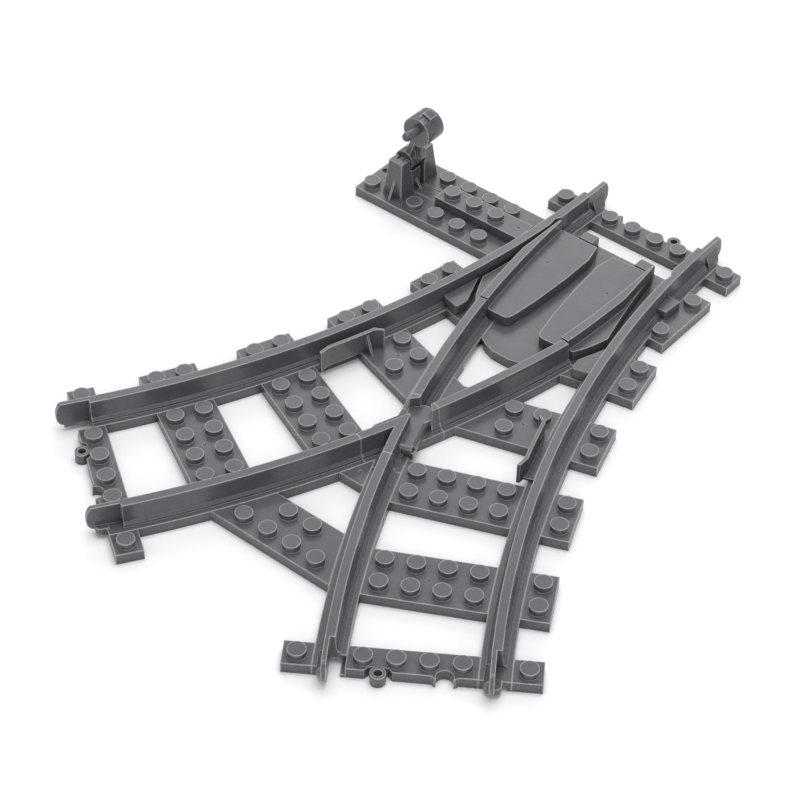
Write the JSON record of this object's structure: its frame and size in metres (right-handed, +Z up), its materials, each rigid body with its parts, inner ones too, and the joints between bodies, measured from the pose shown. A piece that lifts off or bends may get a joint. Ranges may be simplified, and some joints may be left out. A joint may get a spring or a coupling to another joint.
{
  "type": "model railway wye turnout",
  "caption": "Studded grid-system toy railway wye turnout: two curved branches from one straight entry, swinging point blades, sliding throw bar and a weighted hand lever.",
  "frame": {"origin": "centre of the footprint on the underside plane", "axes": "+Z up from the table, +Y along the track towards the single entry end, +X to the right when looking along +Y; the lever is on the -X side"},
  "size_m": [0.1598, 0.1994, 0.0317],
  "materials": {
    "grey_abs": "glossy moulded dark bluish-grey ABS",
    "cover_abs": "moulded dark grey ABS sheet",
    "screw_steel": "plain steel"
  },
  "bodies": {
    "base": {"blade_pivot_pins": "grey_abs", "blade_tip_stops": "grey_abs", "cover_screws": "screw_steel", "cross_plate": "grey_abs", "crossing_plate": "grey_abs", "entry_sleeper": "grey_abs", "frog": "grey_abs", "front_lever_bracket": "grey_abs", "left_branch_sleeper_1": "grey_abs", "left_branch_sleeper_2": "grey_abs", "left_closure_rail": "grey_abs", "left_end_sleeper": "grey_abs", "left_frog_leg": "grey_abs", "left_guard_rail": "grey_abs", "left_sleeper_ends": "grey_abs", "left_stock_rail": "grey_abs", "left_wing_pad": "grey_abs", "lever_plate": "grey_abs", "lever_shaft": "grey_abs", "mechanism_cover": "cover_abs", "point_tray": "grey_abs", "rail_prop_lug": "grey_abs", "rear_lever_bracket": "grey_abs", "right_branch_sleeper_1": "grey_abs", "right_branch_sleeper_2": "grey_abs", "right_closure_rail": "grey_abs", "right_end_sleeper": "grey_abs", "right_frog_leg": "grey_abs", "right_guard_rail": "grey_abs", "right_plate_end": "grey_abs", "right_sleeper_ends": "grey_abs", "right_stock_rail": "grey_abs", "right_wing_pad": "grey_abs"},
    "slider": {"throw_slider": "grey_abs", "throw_bar": "grey_abs"},
    "lever": {"lever_arm": "grey_abs", "lever_drum": "grey_abs", "lever_knob": "grey_abs"},
    "left_point": {"left_blade": "grey_abs"},
    "right_point": {"right_blade": "grey_abs"}
  },
  "joints": [
    {"name": "lever_throw", "type": "hinge", "parent": "base", "child": "lever", "pos_m": [-0.068, 0.06726, 0.0134], "axis": [0, -1, 0], "range_deg": [0, 40.4]},
    {"name": "slider_throw", "type": "slide", "parent": "base", "child": "slider", "axis": [1, 0, 0], "range_m": [0, 0.00393]},
    {"name": "left_point_swing", "type": "hinge", "parent": "base", "child": "left_point", "pos_m": [-0.012, 0.02226, 0.0016], "axis": [0, 0, 1], "range_deg": [-5.01, 0]},
    {"name": "right_point_swing", "type": "hinge", "parent": "base", "child": "right_point", "pos_m": [0.012, 0.02226, 0.0016], "axis": [0, 0, 1], "range_deg": [-5.01, 0]}
  ],
  "couplings": [
    {"joint": "slider_throw", "follows": "lever_throw", "m_per_rad": 0.005563},
    {"joint": "left_point_swing", "follows": "lever_throw", "ratio": -0.12376},
    {"joint": "right_point_swing", "follows": "lever_throw", "ratio": -0.12376}
  ]
}
